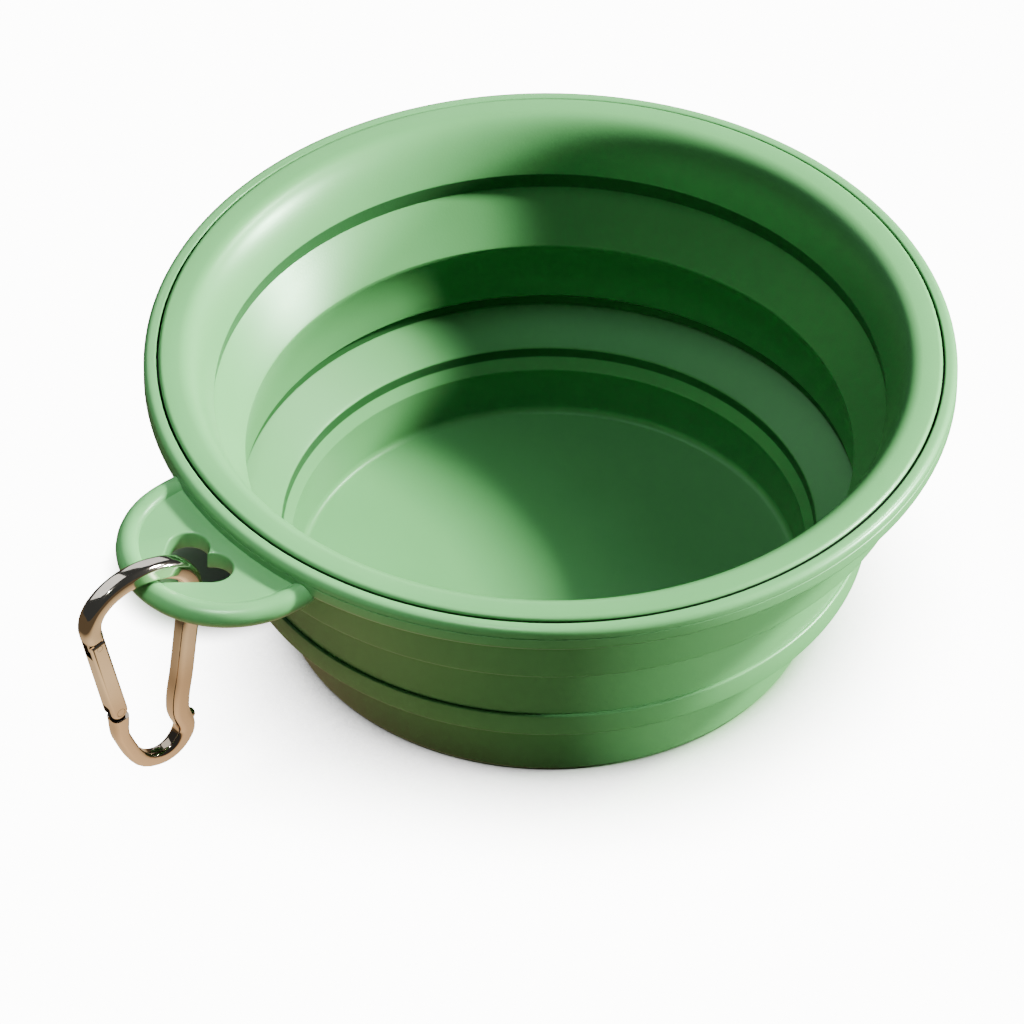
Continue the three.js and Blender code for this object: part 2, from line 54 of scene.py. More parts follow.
CAMERA_ROLL = math.radians(0.45)
SENSOR_WIDTH = 36
FOCAL_PIXELS = 10985.6
IMAGE_PIXELS = 1024
CAMERA_REACH = 20

bpy.ops.object.camera_add()
camera = bpy.context.object
camera.name = "photo_camera"
camera.data.sensor_width = SENSOR_WIDTH
camera.data.lens = FOCAL_PIXELS * SENSOR_WIDTH / IMAGE_PIXELS
camera.data.clip_end = CAMERA_REACH
camera.matrix_world = (
    Matrix.Rotation(CAMERA_TURN, 4, "Z")
    @ Matrix.Translation((0, -CAMERA_DISTANCE, CAMERA_HEIGHT))
    @ Matrix.Rotation(-CAMERA_YAW, 4, "Z")
    @ Matrix.Rotation(math.pi / 2 - CAMERA_PITCH, 4, "X")
    @ Matrix.Rotation(CAMERA_ROLL, 4, "Z")
)
bpy.context.scene.camera = camera

# Base cup
# The lowest part of the soft moulding: a flat floor with a filleted corner and a short upright wall.
# It is injection moulded in satin green elastomer and stands on its flat underside.
BASE_TOP = 0.0095
BASE_OUTSIDE = 0.044
BASE_FOOT = 0.0432
BASE_INSIDE = 0.0417
FLOOR_EDGE = 0.0411
FLOOR_TOP = 0.0016
FOOT_ROUND = 0.0009
FLOOR_ROUND = 0.0013
TURN_STEPS = 160
ROUND_STEPS = 6
SMOOTH_ANGLE = math.radians(35)
MERGE_DISTANCE = 2e-6
SEED_SIZE = 0.001
CLOUD_SCALE = 60
CLOUD_DETAIL = 4
CLOUD_LOW = 0.3
CLOUD_HIGH = 0.7
GRAIN_SCALE = 2600
GRAIN_DETAIL = 2
GRAIN_STRENGTH = 0.25
ROUGHNESS_SPREAD = 0.1
# Painted shade: the narrow gap between the rim ring and the soft lip is darkened to near black in the
# colour.
SEAM_PAINTED_SHADE = (0.004, 0.006, 0.004, 1)
# Painted shade: the undercut strips under the lip's land and under the fold edges are darkened in the
# colour.
CREASE_PAINTED_SHADE = (0.014, 0.066, 0.018, 1)
BOUNCE_TONE = (0.035, 0.105, 0.040, 1)
GLOSS_TINT = (0.6, 1, 0.65, 1)
# Each row: tone, inner radius, outer radius, foot, top, blur
SHADED_BANDS = (
    (SEAM_PAINTED_SHADE, 0.0625, 0.06295, 0, 0.0507, 0.00008),
    (CREASE_PAINTED_SHADE, 0.053, 0.0546, 0.0392, 0.0423, 0.0002),
    (CREASE_PAINTED_SHADE, 0.049, 0.0508, 0.0171, 0.0195, 0.0002),
    (CREASE_PAINTED_SHADE, 0.0427, 0.0436, 0.0117, 0.0135, 0.0002),
)
SOFT_LIGHT = (0.069, 0.240, 0.077, 1)
SOFT_DARK = (0.063, 0.226, 0.071, 1)
SOFT_ROUGHNESS = 0.31
SOFT_GRAIN = 0.00004


def rounded_outline(corners):
    """Points of a closed outline whose corners, given as (across, up, rounding), are rounded off."""
    points = []
    for index, (across, up, rounding) in enumerate(corners):
        corner = Vector((across, up))
        if rounding == 0:
            points.append(corner)
            continue
        before = Vector(corners[index - 1][:2]) - corner
        after = Vector(corners[(index + 1) % len(corners)][:2]) - corner
        half_angle = before.angle(after) / 2
        reach = rounding / math.tan(half_angle)
        inwards = (before.normalized() + after.normalized()).normalized()
        middle = corner + inwards * rounding / math.sin(half_angle)
        first = corner + before.normalized() * reach - middle
        last = corner + after.normalized() * reach - middle
        turn = first.angle_signed(last)
        for step in range(ROUND_STEPS + 1):
            points.append(middle + Matrix.Rotation(-turn * step / ROUND_STEPS, 2) @ first)
    return points


def draw_outline(name, points, place):
    """Draws an outline from point to point in edit mode, starting from one vertex."""
    bpy.ops.object.select_all(action="DESELECT")
    bpy.ops.mesh.primitive_plane_add(size=SEED_SIZE, location=place(points[0]))
    piece = bpy.context.object
    piece.name = name
    piece.data.name = name
    bpy.ops.object.transform_apply(location=True, rotation=True, scale=True)
    bpy.ops.object.mode_set(mode="EDIT")
    bpy.ops.mesh.select_mode(type="VERT")
    bpy.ops.mesh.select_all(action="SELECT")
    bpy.ops.mesh.merge(type="CENTER")
    for here, there in zip(points, points[1:]):
        bpy.ops.mesh.extrude_vertices_move(
            TRANSFORM_OT_translate={"value": place(there) - place(here)})
    return piece


def close_mesh():
    """Merges doubled vertices, turns all faces outwards and leaves edit mode with smooth shading."""
    bpy.ops.mesh.select_all(action="SELECT")
    bpy.ops.mesh.remove_doubles(threshold=MERGE_DISTANCE)
    bpy.ops.mesh.normals_make_consistent(inside=False)
    bpy.ops.object.mode_set(mode="OBJECT")
    bpy.ops.object.shade_smooth_by_angle(angle=SMOOTH_ANGLE)


def turned_piece(name, corners, closed=True):
    """A half-section of (radius, height, rounding) corners spun once round the bowl's axis."""
    points = rounded_outline(corners)
    if closed:
        points.append(points[0])
    piece = draw_outline(name, points, lambda point: Vector((point.x, 0, point.y)))
    bpy.ops.mesh.select_all(action="SELECT")
    bpy.ops.mesh.spin(steps=TURN_STEPS, angle=math.tau, center=(0, 0, 0), axis=(0, 0, 1))
    close_mesh()
    return piece


def feed(tree, value, socket):
    """Links the output of another node to a socket, or sets the socket to a fixed value."""
    if isinstance(value, bpy.types.NodeSocket):
        tree.links.new(value, socket)
    else:
        socket.default_value = value


def arithmetic(tree, operation, *values, clamp=False):
    """The result of one operation on numbers or on the outputs of other nodes."""
    step = tree.nodes.new("ShaderNodeMath")
    step.operation = operation
    step.use_clamp = clamp
    for value, socket in zip(values, step.inputs):
        feed(tree, value, socket)
    return step.outputs["Value"]


def mapped(tree, value, low, high, at_low, at_high, blend="LINEAR"):
    """A number that runs from at_low to at_high while the value runs from low to high."""
    span = tree.nodes.new("ShaderNodeMapRange")
    span.interpolation_type = blend
    feed(tree, value, span.inputs["Value"])
    feed(tree, low, span.inputs["From Min"])
    feed(tree, high, span.inputs["From Max"])
    feed(tree, at_low, span.inputs["To Min"])
    feed(tree, at_high, span.inputs["To Max"])
    return span.outputs["Result"]


def mixed_colour(tree, factor, first, last):
    """A mix of two colours, each a fixed colour or the output of another node."""
    mix = tree.nodes.new("ShaderNodeMix")
    mix.data_type = "RGBA"
    feed(tree, factor, mix.inputs["Factor"])
    feed(tree, first, mix.inputs["A"])
    feed(tree, last, mix.inputs["B"])
    return mix.outputs["Result"]


def moulded_skin_group():
    """Fine moulded grain: a tone, a roughness and a height that vary over the surface."""
    group = bpy.data.node_groups.new("moulded_skin", "ShaderNodeTree")
    for label in ("Cloud Scale", "Roughness", "Roughness Spread"):
        group.interface.new_socket(label, in_out="INPUT", socket_type="NodeSocketFloat")
    for label in ("Tone", "Roughness", "Height"):
        group.interface.new_socket(label, in_out="OUTPUT", socket_type="NodeSocketFloat")
    nodes, links = group.nodes, group.links
    inputs = nodes.new("NodeGroupInput")
    outputs = nodes.new("NodeGroupOutput")
    place = nodes.new("ShaderNodeTexCoord")
    cloud = nodes.new("ShaderNodeTexNoise")
    cloud.inputs["Detail"].default_value = CLOUD_DETAIL
    links.new(place.outputs["Object"], cloud.inputs["Vector"])
    links.new(inputs.outputs["Cloud Scale"], cloud.inputs["Scale"])
    grain = nodes.new("ShaderNodeTexNoise")
    grain.inputs["Detail"].default_value = GRAIN_DETAIL
    grain.inputs["Scale"].default_value = GRAIN_SCALE
    links.new(place.outputs["Object"], grain.inputs["Vector"])
    tone = mapped(group, cloud.outputs["Fac"], CLOUD_LOW, CLOUD_HIGH, 0, 1)
    roughness = arithmetic(
        group, "MULTIPLY_ADD", grain.outputs["Fac"],
        inputs.outputs["Roughness Spread"], inputs.outputs["Roughness"])
    links.new(tone, outputs.inputs["Tone"])
    links.new(roughness, outputs.inputs["Roughness"])
    links.new(grain.outputs["Fac"], outputs.inputs["Height"])
    return group


def shade_band_group():
    """A mask of 1 in a ring between two radii and two heights about the bowl's axis, and 0 elsewhere."""
    group = bpy.data.node_groups.new("shade_band", "ShaderNodeTree")
    for label in ("Inner Radius", "Outer Radius", "Foot", "Top", "Blur"):
        group.interface.new_socket(label, in_out="INPUT", socket_type="NodeSocketFloat")
    group.interface.new_socket("Mask", in_out="OUTPUT", socket_type="NodeSocketFloat")
    nodes, links = group.nodes, group.links
    inputs = nodes.new("NodeGroupInput")
    outputs = nodes.new("NodeGroupOutput")
    place = nodes.new("ShaderNodeTexCoord")
    flat = nodes.new("ShaderNodeVectorMath")
    flat.operation = "MULTIPLY"
    flat.inputs[1].default_value = (1, 1, 0)
    links.new(place.outputs["Object"], flat.inputs[0])
    radius = nodes.new("ShaderNodeVectorMath")
    radius.operation = "LENGTH"
    links.new(flat.outputs["Vector"], radius.inputs[0])
    split = nodes.new("ShaderNodeSeparateXYZ")
    links.new(place.outputs["Object"], split.inputs["Vector"])
    mask = 1
    for first, last in ((radius.outputs["Value"], inputs.outputs["Inner Radius"]),
                        (inputs.outputs["Outer Radius"], radius.outputs["Value"]),
                        (split.outputs["Z"], inputs.outputs["Foot"]),
                        (inputs.outputs["Top"], split.outputs["Z"])):
        inside = arithmetic(group, "SUBTRACT", first, last)
        ramp = arithmetic(group, "DIVIDE", inside, inputs.outputs["Blur"], clamp=True)
        mask = arithmetic(group, "MULTIPLY", ramp, mask)
    links.new(mask, outputs.inputs["Mask"])
    return group


moulded_skin = moulded_skin_group()
shade_band = shade_band_group()


def moulded_material(name, light, dark, roughness, grain_depth):
    """A moulded plastic whose colour drifts a little and whose skin has a fine grain, with shade painted
    into its seam and fold creases.
    """
    material = bpy.data.materials.new(name)
    material.use_nodes = True
    tree = material.node_tree
    nodes, links = tree.nodes, tree.links
    shader = nodes["Principled BSDF"]
    shader.inputs["Specular Tint"].default_value = GLOSS_TINT
    skin = nodes.new("ShaderNodeGroup")
    skin.node_tree = moulded_skin
    skin.inputs["Cloud Scale"].default_value = CLOUD_SCALE
    skin.inputs["Roughness"].default_value = roughness
    skin.inputs["Roughness Spread"].default_value = ROUGHNESS_SPREAD
    shade = mixed_colour(tree, skin.outputs["Tone"], light, dark)
    # Painted shade: each shaded band darkens the colour in its ring, at the seam and at the fold
    # creases.
    for tone, *sizes in SHADED_BANDS:
        band = nodes.new("ShaderNodeGroup")
        band.node_tree = shade_band
        for socket, size in zip(band.inputs, sizes):
            socket.default_value = size
        shade = mixed_colour(tree, band.outputs["Mask"], shade, tone)
    path = nodes.new("ShaderNodeLightPath")
    bounced = mixed_colour(tree, path.outputs["Is Diffuse Ray"], shade, BOUNCE_TONE)
    links.new(bounced, shader.inputs["Base Color"])
    links.new(skin.outputs["Roughness"], shader.inputs["Roughness"])
    bump = nodes.new("ShaderNodeBump")
    bump.inputs["Strength"].default_value = GRAIN_STRENGTH
    bump.inputs["Distance"].default_value = grain_depth
    links.new(skin.outputs["Height"], bump.inputs["Height"])
    links.new(bump.outputs["Normal"], shader.inputs["Normal"])
    return material


soft_green = moulded_material("soft_green", SOFT_LIGHT, SOFT_DARK, SOFT_ROUGHNESS, SOFT_GRAIN)

base_cup = turned_piece("base_cup_moulding", [
    (0, 0, 0),
    (BASE_FOOT, 0, FOOT_ROUND),
    (BASE_OUTSIDE, BASE_TOP, 0),
    (BASE_INSIDE, BASE_TOP, 0),
    (FLOOR_EDGE, FLOOR_TOP, FLOOR_ROUND),
    (0, FLOOR_TOP, 0),
], closed=False)
base_cup.data.materials.append(soft_green)
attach(base_cup, "base")
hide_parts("base_cup")

# Lower fold
# A shallow tread and a short thin collar between the base cup and the middle band.
# It is part of the same moulding and turns inside out when the base is pushed up.
LOWER_FOLD_TOP = 0.0172
LOWER_FOLD_FOOT = 0.0101
TREAD_OUTSIDE = 0.0502
TREAD_INSIDE = 0.0433
TREAD_FOOT = 0.0135
TREAD_DEPTH = 0.0017
TREAD_STEPS = 8
COLLAR_INSIDE = 0.0431
COLLAR_FOOT = 0.0118
COLLAR_STEPS = 4
FOLD_FOOT_STEP = 0.00004
EDGE_ROUND = 0.00045


def sloping_run(start, end, steps):
    """Corners along a straight slope, so that the slope can bend when it folds."""
    run = []
    for step in range(1, steps):
        share = step / steps
        across = start[0] + (end[0] - start[0]) * share
        up = start[1] + (end[1] - start[1]) * share
        run.append((across, up, 0))
    return run


tread_under = LOWER_FOLD_TOP - TREAD_DEPTH
under_slope = (LOWER_FOLD_TOP - TREAD_FOOT) / (TREAD_OUTSIDE - TREAD_INSIDE)
under_foot = tread_under - under_slope * (TREAD_OUTSIDE - BASE_OUTSIDE)
lower_fold = turned_piece("lower_fold_moulding", [
    (BASE_INSIDE - FOLD_FOOT_STEP, BASE_TOP, 0),
    (BASE_OUTSIDE, BASE_TOP, 0),
    *sloping_run((BASE_OUTSIDE, BASE_TOP), (BASE_OUTSIDE, under_foot), COLLAR_STEPS),
    (BASE_OUTSIDE, under_foot, EDGE_ROUND),
    *sloping_run((BASE_OUTSIDE, under_foot), (TREAD_OUTSIDE, tread_under), TREAD_STEPS),
    (TREAD_OUTSIDE, tread_under, 0),
    (TREAD_OUTSIDE, LOWER_FOLD_TOP, 0),
    *sloping_run((TREAD_OUTSIDE, LOWER_FOLD_TOP), (TREAD_INSIDE, TREAD_FOOT), TREAD_STEPS),
    (TREAD_INSIDE, TREAD_FOOT, EDGE_ROUND),
    (COLLAR_INSIDE, COLLAR_FOOT, EDGE_ROUND),
    (BASE_INSIDE, LOWER_FOLD_FOOT, EDGE_ROUND),
])
lower_fold.data.materials.append(soft_green)
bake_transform(lower_fold)
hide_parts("lower_fold")

# Middle band
# A stiff upright band of the same moulding, with a raised bead round its foot.
# It stays round while the folds above and below it turn over.
BAND_TOP = 0.0303
BAND_INSIDE_TOP = 0.04896
BAND_OUTSIDE = 0.051
BAND_BEAD = 0.0515
BAND_BEAD_TOP = 0.0198
BAND_HOLLOW = 0.0503
BAND_HOLLOW_HEIGHT = 0.0262
BAND_HOLLOW_ROUND = 0.02
BAND_GROOVE_TOP = 0.0195
BAND_GROOVE_INSIDE = 0.0496
BAND_GROOVE_DEPTH = 0.0008
BEAD_ROUND = 0.0004

middle_band = turned_piece("middle_band_moulding", [
    (TREAD_OUTSIDE, tread_under, 0),
    (BAND_BEAD, tread_under, BEAD_ROUND),
    (BAND_BEAD, BAND_BEAD_TOP, BEAD_ROUND),
    (BAND_OUTSIDE, BAND_BEAD_TOP, 0),
    (BAND_OUTSIDE, BAND_TOP, 0),
    (BAND_INSIDE_TOP, BAND_TOP, 0),
    (BAND_HOLLOW, BAND_HOLLOW_HEIGHT, BAND_HOLLOW_ROUND),
    (BAND_GROOVE_INSIDE, BAND_GROOVE_TOP, EDGE_ROUND / 2),
    (BAND_GROOVE_INSIDE + BAND_GROOVE_DEPTH, BAND_GROOVE_TOP - BAND_GROOVE_DEPTH, 0),
    (TREAD_OUTSIDE, LOWER_FOLD_TOP, 0),
])
middle_band.data.materials.append(soft_green)
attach(middle_band, "band")
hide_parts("middle_band")

# Upper fold
# A sloping web between the middle band and the upper wall, thinner than both.
# It turns inside out when the middle band is pushed up into the rim.
UPPER_FOLD_TOP = 0.0393
UPPER_FOLD_FOOT = 0.0309
UPPER_FOLD_OUTSIDE = 0.0541
UPPER_FOLD_INSIDE = 0.0489
UPPER_FOLD_WIDTH = 0.00176
WEB_FOOT_LIFT = 0.0005
WEB_STEPS = 12

web_outside = UPPER_FOLD_OUTSIDE + UPPER_FOLD_WIDTH
web_foot = UPPER_FOLD_FOOT + WEB_FOOT_LIFT
upper_fold = turned_piece("upper_fold_moulding", [
    (BAND_INSIDE_TOP, BAND_TOP, 0),
    (BAND_OUTSIDE, BAND_TOP, 0),
    (BAND_OUTSIDE, web_foot, EDGE_ROUND),
    *sloping_run((BAND_OUTSIDE, web_foot), (web_outside, UPPER_FOLD_TOP), WEB_STEPS),
    (web_outside, UPPER_FOLD_TOP, 0),
    (UPPER_FOLD_OUTSIDE, UPPER_FOLD_TOP, 0),
    *sloping_run((UPPER_FOLD_OUTSIDE, UPPER_FOLD_TOP), (UPPER_FOLD_INSIDE, UPPER_FOLD_FOOT), WEB_STEPS),
    (UPPER_FOLD_INSIDE, UPPER_FOLD_FOOT, EDGE_ROUND),
])
upper_fold.data.materials.append(soft_green)
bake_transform(upper_fold)
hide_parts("upper_fold")

# Upper wall and lip
# The widest part of the soft moulding: a rolled lip that lies on the rim's flange, a wall that
# curves down to a short land, and a skirt outside that hides the fold.
LIP_TOP = 0.0512
LIP_SEAT = 0.0483
LIP_OUTSIDE = 0.0626
LIP_INSIDE = 0.0595
LIP_ROUND = 0.0007
WALL_OUTSIDE = 0.0586
SKIRT_FOOT = 0.0347
SKIRT_WIDTH = 0.002
SKIRT_FOOT_WIDTH = 0.0015
LAND_TOP = 0.0421
LAND_INSIDE = 0.0538
LIP_CURVE_STEPS = 18
CROWN_PULL = 1 / 2
LAND_PULL_ACROSS = 1 / 5
LAND_PULL_UP = 1 / 2


def lip_curve():
    """The lip's roll from its flat crown down to the land, as one smooth curve."""
    crown = Vector((LIP_INSIDE, LIP_TOP))
    land = Vector((LAND_INSIDE, LAND_TOP))
    across = LIP_INSIDE - LAND_INSIDE
    up = LIP_TOP - LAND_TOP
    crown_pull = crown - Vector((across * CROWN_PULL, 0))
    land_pull = land + Vector((across * LAND_PULL_ACROSS, up * LAND_PULL_UP))
    curve = []
    for step in range(LIP_CURVE_STEPS):
        share = step / LIP_CURVE_STEPS
        rest = 1 - share
        point = (crown * rest ** 3 + crown_pull * 3 * rest ** 2 * share
                 + land_pull * 3 * rest * share ** 2 + land * share ** 3)
        curve.append((point.x, point.y, 0))
    return curve


upper_wall = turned_piece("upper_wall_moulding", [
    (UPPER_FOLD_OUTSIDE, UPPER_FOLD_TOP, 0),
    (web_outside, UPPER_FOLD_TOP, 0),
    (WALL_OUTSIDE - SKIRT_WIDTH, SKIRT_FOOT + SKIRT_WIDTH, 0),
    (WALL_OUTSIDE - SKIRT_FOOT_WIDTH, SKIRT_FOOT, EDGE_ROUND),
    (WALL_OUTSIDE, SKIRT_FOOT, EDGE_ROUND),
    (WALL_OUTSIDE, LIP_SEAT, 0),
    (LIP_OUTSIDE, LIP_SEAT, 0),
    (LIP_OUTSIDE, LIP_TOP, LIP_ROUND),
    *lip_curve(),
    (LAND_INSIDE, LAND_TOP, EDGE_ROUND / 2),
])
upper_wall.data.materials.append(soft_green)
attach(upper_wall, "rim")
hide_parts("upper_wall")

# Rim ring and lug
# A hard plastic ring moulded round the soft lip, with a flange under it and a half-round lug.
# The lug has a rounded bead along its edge and a heart-shaped hole for the snap hook.
RIM_OUTSIDE = 0.065
RIM_INSIDE = 0.0629
RIM_TOP = 0.0507
RIM_FOOT = 0.0465
FLANGE_INSIDE = 0.0589
RIM_TOP_ROUND = 0.0011
RIM_FOOT_ROUND = 0.0007
PARTING_HEIGHT = 0.0489
PARTING_DEPTH = 0.00012
LUG_REACH = 0.083
LUG_RADIUS = 0.0177
LUG_TOP = 0.0474
LUG_FOOT = 0.044
LUG_ROOT = 0.061
LUG_ARC_STEPS = 64
LUG_ROOT_STEPS = 16
LUG_BEAD_RADIUS = 0.002
LUG_BEAD_RISE = 0.0009
LUG_BEAD_RUN = 0.0026
LUG_BEAD_SIDES = 24
LUG_BEAD_SPANS = 16
LUG_BEAD_END_STEPS = 5
CURVE_STEPS = 8
HEART_TIP = 0.0798
HEART_LENGTH = 0.009
HEART_LOBE = 0.0033
HEART_OFFSET = 0.003
HEART_STEPS = 24
HEART_EDGE_ROUND = 0.0004
HEART_EDGE_STEPS = 3
HEART_SPARE = 0.00001
CUTTER_SPARE = 0.002
HARD_LIGHT = (0.076, 0.258, 0.086, 1)
HARD_DARK = (0.070, 0.244, 0.080, 1)
HARD_ROUGHNESS = 0.28
HARD_GRAIN = 0.00002


def flat_piece(name, points, low, high):
    """A level outline of (x, y) points, filled and raised from low to high."""
    piece = draw_outline(name, [*points, points[0]], lambda point: Vector((point[0], point[1], low)))
    bpy.ops.mesh.select_all(action="SELECT")
    bpy.ops.mesh.remove_doubles(threshold=MERGE_DISTANCE)
    bpy.ops.mesh.edge_face_add()
    bpy.ops.mesh.extrude_region_move(TRANSFORM_OT_translate={"value": (0, 0, high - low)})
    close_mesh()
    return piece


def arc_points(centre_x, centre_y, radius, start, end, steps):
    """Points along an arc of a level circle, both ends included."""
    arc = []
    for step in range(steps + 1):
        angle = start + (end - start) * step / steps
        arc.append((centre_x + radius * math.cos(angle), centre_y + radius * math.sin(angle)))
    return arc


def heart_points():
    """Outline of the heart-shaped hole, its tip towards the edge of the lug."""
    lobe_x = HEART_LENGTH - HEART_TIP
    lean = (math.atan2(HEART_OFFSET, HEART_LENGTH)
            + math.asin(HEART_LOBE / math.hypot(HEART_LENGTH, HEART_OFFSET)))
    tangent = math.pi / 2 + lean
    cusp = math.acos(HEART_OFFSET / HEART_LOBE)
    near = arc_points(lobe_x, -HEART_OFFSET, HEART_LOBE, -tangent, math.pi / 2 - cusp, HEART_STEPS)
    far = arc_points(lobe_x, HEART_OFFSET, HEART_LOBE, cusp - math.pi / 2, tangent, HEART_STEPS)
    return [(-HEART_TIP, 0), *near, *far[1:]]


def drawn_curve(points, closed, handle, steps):
    """A curve through points, straight between them or smooth, as its handles say."""
    bpy.ops.object.select_all(action="DESELECT")
    bpy.ops.curve.primitive_bezier_curve_add()
    curve = bpy.context.object
    spline = curve.data.splines[0]
    spline.bezier_points.add(len(points) - len(spline.bezier_points))
    spline.use_cyclic_u = closed
    for knot, place in zip(spline.bezier_points, points):
        knot.co = place
        knot.handle_left_type = handle
        knot.handle_right_type = handle
    curve.data.resolution_u = steps
    return curve


def bent_bar(name, path, section, fullness):
    """A bar of one section drawn along a smooth curve through the path's points, as a closed mesh."""
    outline = drawn_curve([(across, up, 0) for across, up in section], True, "VECTOR", 1)
    bar = drawn_curve(path, False, "AUTO", CURVE_STEPS)
    bar.name = name
    for knot, share in zip(bar.data.splines[0].bezier_points, fullness):
        knot.radius = share
    bar.data.bevel_mode = "OBJECT"
    bar.data.bevel_object = outline
    bar.data.use_fill_caps = True
    bpy.ops.object.convert(target="MESH")
    bar = bpy.context.object
    bar.data.name = name
    bpy.data.objects.remove(outline)
    bpy.ops.object.mode_set(mode="EDIT")
    close_mesh()
    return bar


def combine(piece, other, operation):
    """Joins another solid to a piece or cuts it away, and deletes that other solid."""
    bpy.ops.object.select_all(action="DESELECT")
    bpy.context.view_layer.objects.active = piece
    piece.select_set(True)
    cut = piece.modifiers.new(operation.lower(), "BOOLEAN")
    cut.operation = operation
    cut.solver = "EXACT"
    cut.object = other
    bpy.ops.object.modifier_apply(modifier=cut.name)
    bpy.data.objects.remove(other)


def pick_edges(piece, wanted):
    """Opens a piece in edit mode with only the edges selected whose two ends pass a test."""
    bpy.ops.object.mode_set(mode="EDIT")
    bpy.ops.mesh.select_mode(type="EDGE")
    bpy.ops.mesh.select_all(action="DESELECT")
    bpy.ops.object.mode_set(mode="OBJECT")
    for edge in piece.data.edges:
        first, last = (piece.data.vertices[index].co for index in edge.vertices)
        edge.select = wanted(first, last)
    bpy.ops.object.mode_set(mode="EDIT")


def level_edge(first, last):
    """True for an edge whose two ends are equally high."""
    return abs(first.z - last.z) < MERGE_DISTANCE


def round_the_heart(first, last):
    """True for the upper and lower edges of the heart-shaped hole."""
    half_width = HEART_OFFSET + HEART_LOBE + HEART_SPARE
    tip = -HEART_TIP - HEART_SPARE
    root = HEART_LENGTH - HEART_TIP + HEART_LOBE + HEART_SPARE
    ends_inside = all(abs(end.y) < half_width and tip < end.x < root for end in (first, last))
    return level_edge(first, last) and ends_inside


lug_centre = LUG_RADIUS - LUG_REACH
bead_path_radius = LUG_RADIUS - LUG_BEAD_RADIUS
bead_height = LUG_TOP + LUG_BEAD_RISE - LUG_BEAD_RADIUS
root_angle = math.asin(bead_path_radius / LUG_ROOT)
lug_plate = flat_piece("lug_plate", [
    *arc_points(lug_centre, 0, bead_path_radius, math.pi / 2, math.pi * 3 / 2, LUG_ARC_STEPS),
    *arc_points(0, 0, LUG_ROOT, math.pi + root_angle, math.pi - root_angle, LUG_ROOT_STEPS),
], LUG_FOOT, LUG_TOP)
heart_cutter = flat_piece(
    "heart_cutter", heart_points(), LUG_FOOT - CUTTER_SPARE, LUG_TOP + CUTTER_SPARE)
combine(lug_plate, heart_cutter, "DIFFERENCE")
pick_edges(lug_plate, round_the_heart)
bpy.ops.mesh.bevel(offset=HEART_EDGE_ROUND, segments=HEART_EDGE_STEPS, affect="EDGES")
close_mesh()

bead_end_x = lug_centre + LUG_BEAD_RUN
end_run = []
end_fullness = []
for step in range(LUG_BEAD_END_STEPS + 1):
    turn = math.pi / 2 * step / LUG_BEAD_END_STEPS
    end_run.append(bead_end_x + LUG_BEAD_RADIUS * math.sin(turn))
    end_fullness.append(math.cos(turn))
bead_path = [(x, bead_path_radius) for x in reversed(end_run)]
bead_path.extend(arc_points(
    lug_centre, 0, bead_path_radius, math.pi / 2, math.pi * 3 / 2, LUG_BEAD_SPANS))
bead_path.extend((x, -bead_path_radius) for x in end_run)
lug_bead = bent_bar(
    "lug_bead", [Vector((x, y, bead_height)) for x, y in bead_path],
    arc_points(0, 0, LUG_BEAD_RADIUS, 0, math.tau, LUG_BEAD_SIDES)[1:],
    [*reversed(end_fullness), *[1] * (LUG_BEAD_SPANS + 1), *end_fullness])

rim_ring = turned_piece("rim_ring_moulding", [
    (FLANGE_INSIDE, RIM_FOOT, 0),
    (RIM_OUTSIDE, RIM_FOOT, RIM_FOOT_ROUND),
    (RIM_OUTSIDE, PARTING_HEIGHT - PARTING_DEPTH, 0),
    (RIM_OUTSIDE - PARTING_DEPTH, PARTING_HEIGHT, 0),
    (RIM_OUTSIDE, PARTING_HEIGHT + PARTING_DEPTH, 0),
    (RIM_OUTSIDE, RIM_TOP, RIM_TOP_ROUND),
    (RIM_INSIDE, RIM_TOP, RIM_FOOT_ROUND / 2),
    (RIM_INSIDE, LIP_SEAT, 0),
    (FLANGE_INSIDE, LIP_SEAT, 0),
])
combine(lug_plate, lug_bead, "UNION")
combine(rim_ring, lug_plate, "UNION")
bpy.ops.object.mode_set(mode="EDIT")
close_mesh()
hard_green = moulded_material("hard_green", HARD_LIGHT, HARD_DARK, HARD_ROUGHNESS, HARD_GRAIN)
rim_ring.data.materials.clear()
rim_ring.data.materials.append(hard_green)
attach(rim_ring, "rim")
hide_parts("rim_ring")

# Snap hook body
# A bar of nickel-plated zinc, cast and polished, bent into a pear shape with an arch at the top.
# It hangs by its arch over the bar of the lug, and its nose and shoulder carry the gate.
HANG_POINT = Vector((-0.0814, 0, 0.04455))
HOOK_SIDE = 0.0033
HOOK_CORNER = 0.0011
ARCH_SHIFT = 0.0032
ARCH_TOP = 0.00625
ARCH_INNER_WIDTH = 0.01178
ARCH_INNER_HEIGHT = 0.0082
ARCH_OUTER_WIDTH = 0.0081
ARCH_OUTER_HEIGHT = 0.0056
ARCH_SPANS = 8
LEG_INSET = 0.00305
LEG_DROP = 0.0244
LEG_SPANS = 3
HEEL_INSET = 0.00215
HEEL_DROP = 0.0301
TOE_SHIFT = -0.00433
TOE_DROP = 0.0327
NOSE_INSET = 0.0004
NOSE_DROP = 0.00255
NOSE_DISTANCE = 0.0181
SHOULDER_DISTANCE = 0.0019
SHOULDER_DROP = 0.0052
SHOULDER_INSET = 0.0007
HEEL_FULLNESS = 0.94
TOE_FULLNESS = 0.78
SHOULDER_FULLNESS = 0.95
NUB_RADIUS = 0.001
NUB_INSET = 0.0006
NUB_SEGMENTS = 24
NUB_RINGS = 16
GATE_LEAN = math.radians(13.5)
GATE_WIDTH = 0.003
GATE_LENGTH = 0.0174
TONGUE_THICKNESS = 0.0012
TONGUE_WIDTH = 0.0024
SLOT_WIDTH = 0.0017
NOSE_TONGUE_REACH = 0.0027
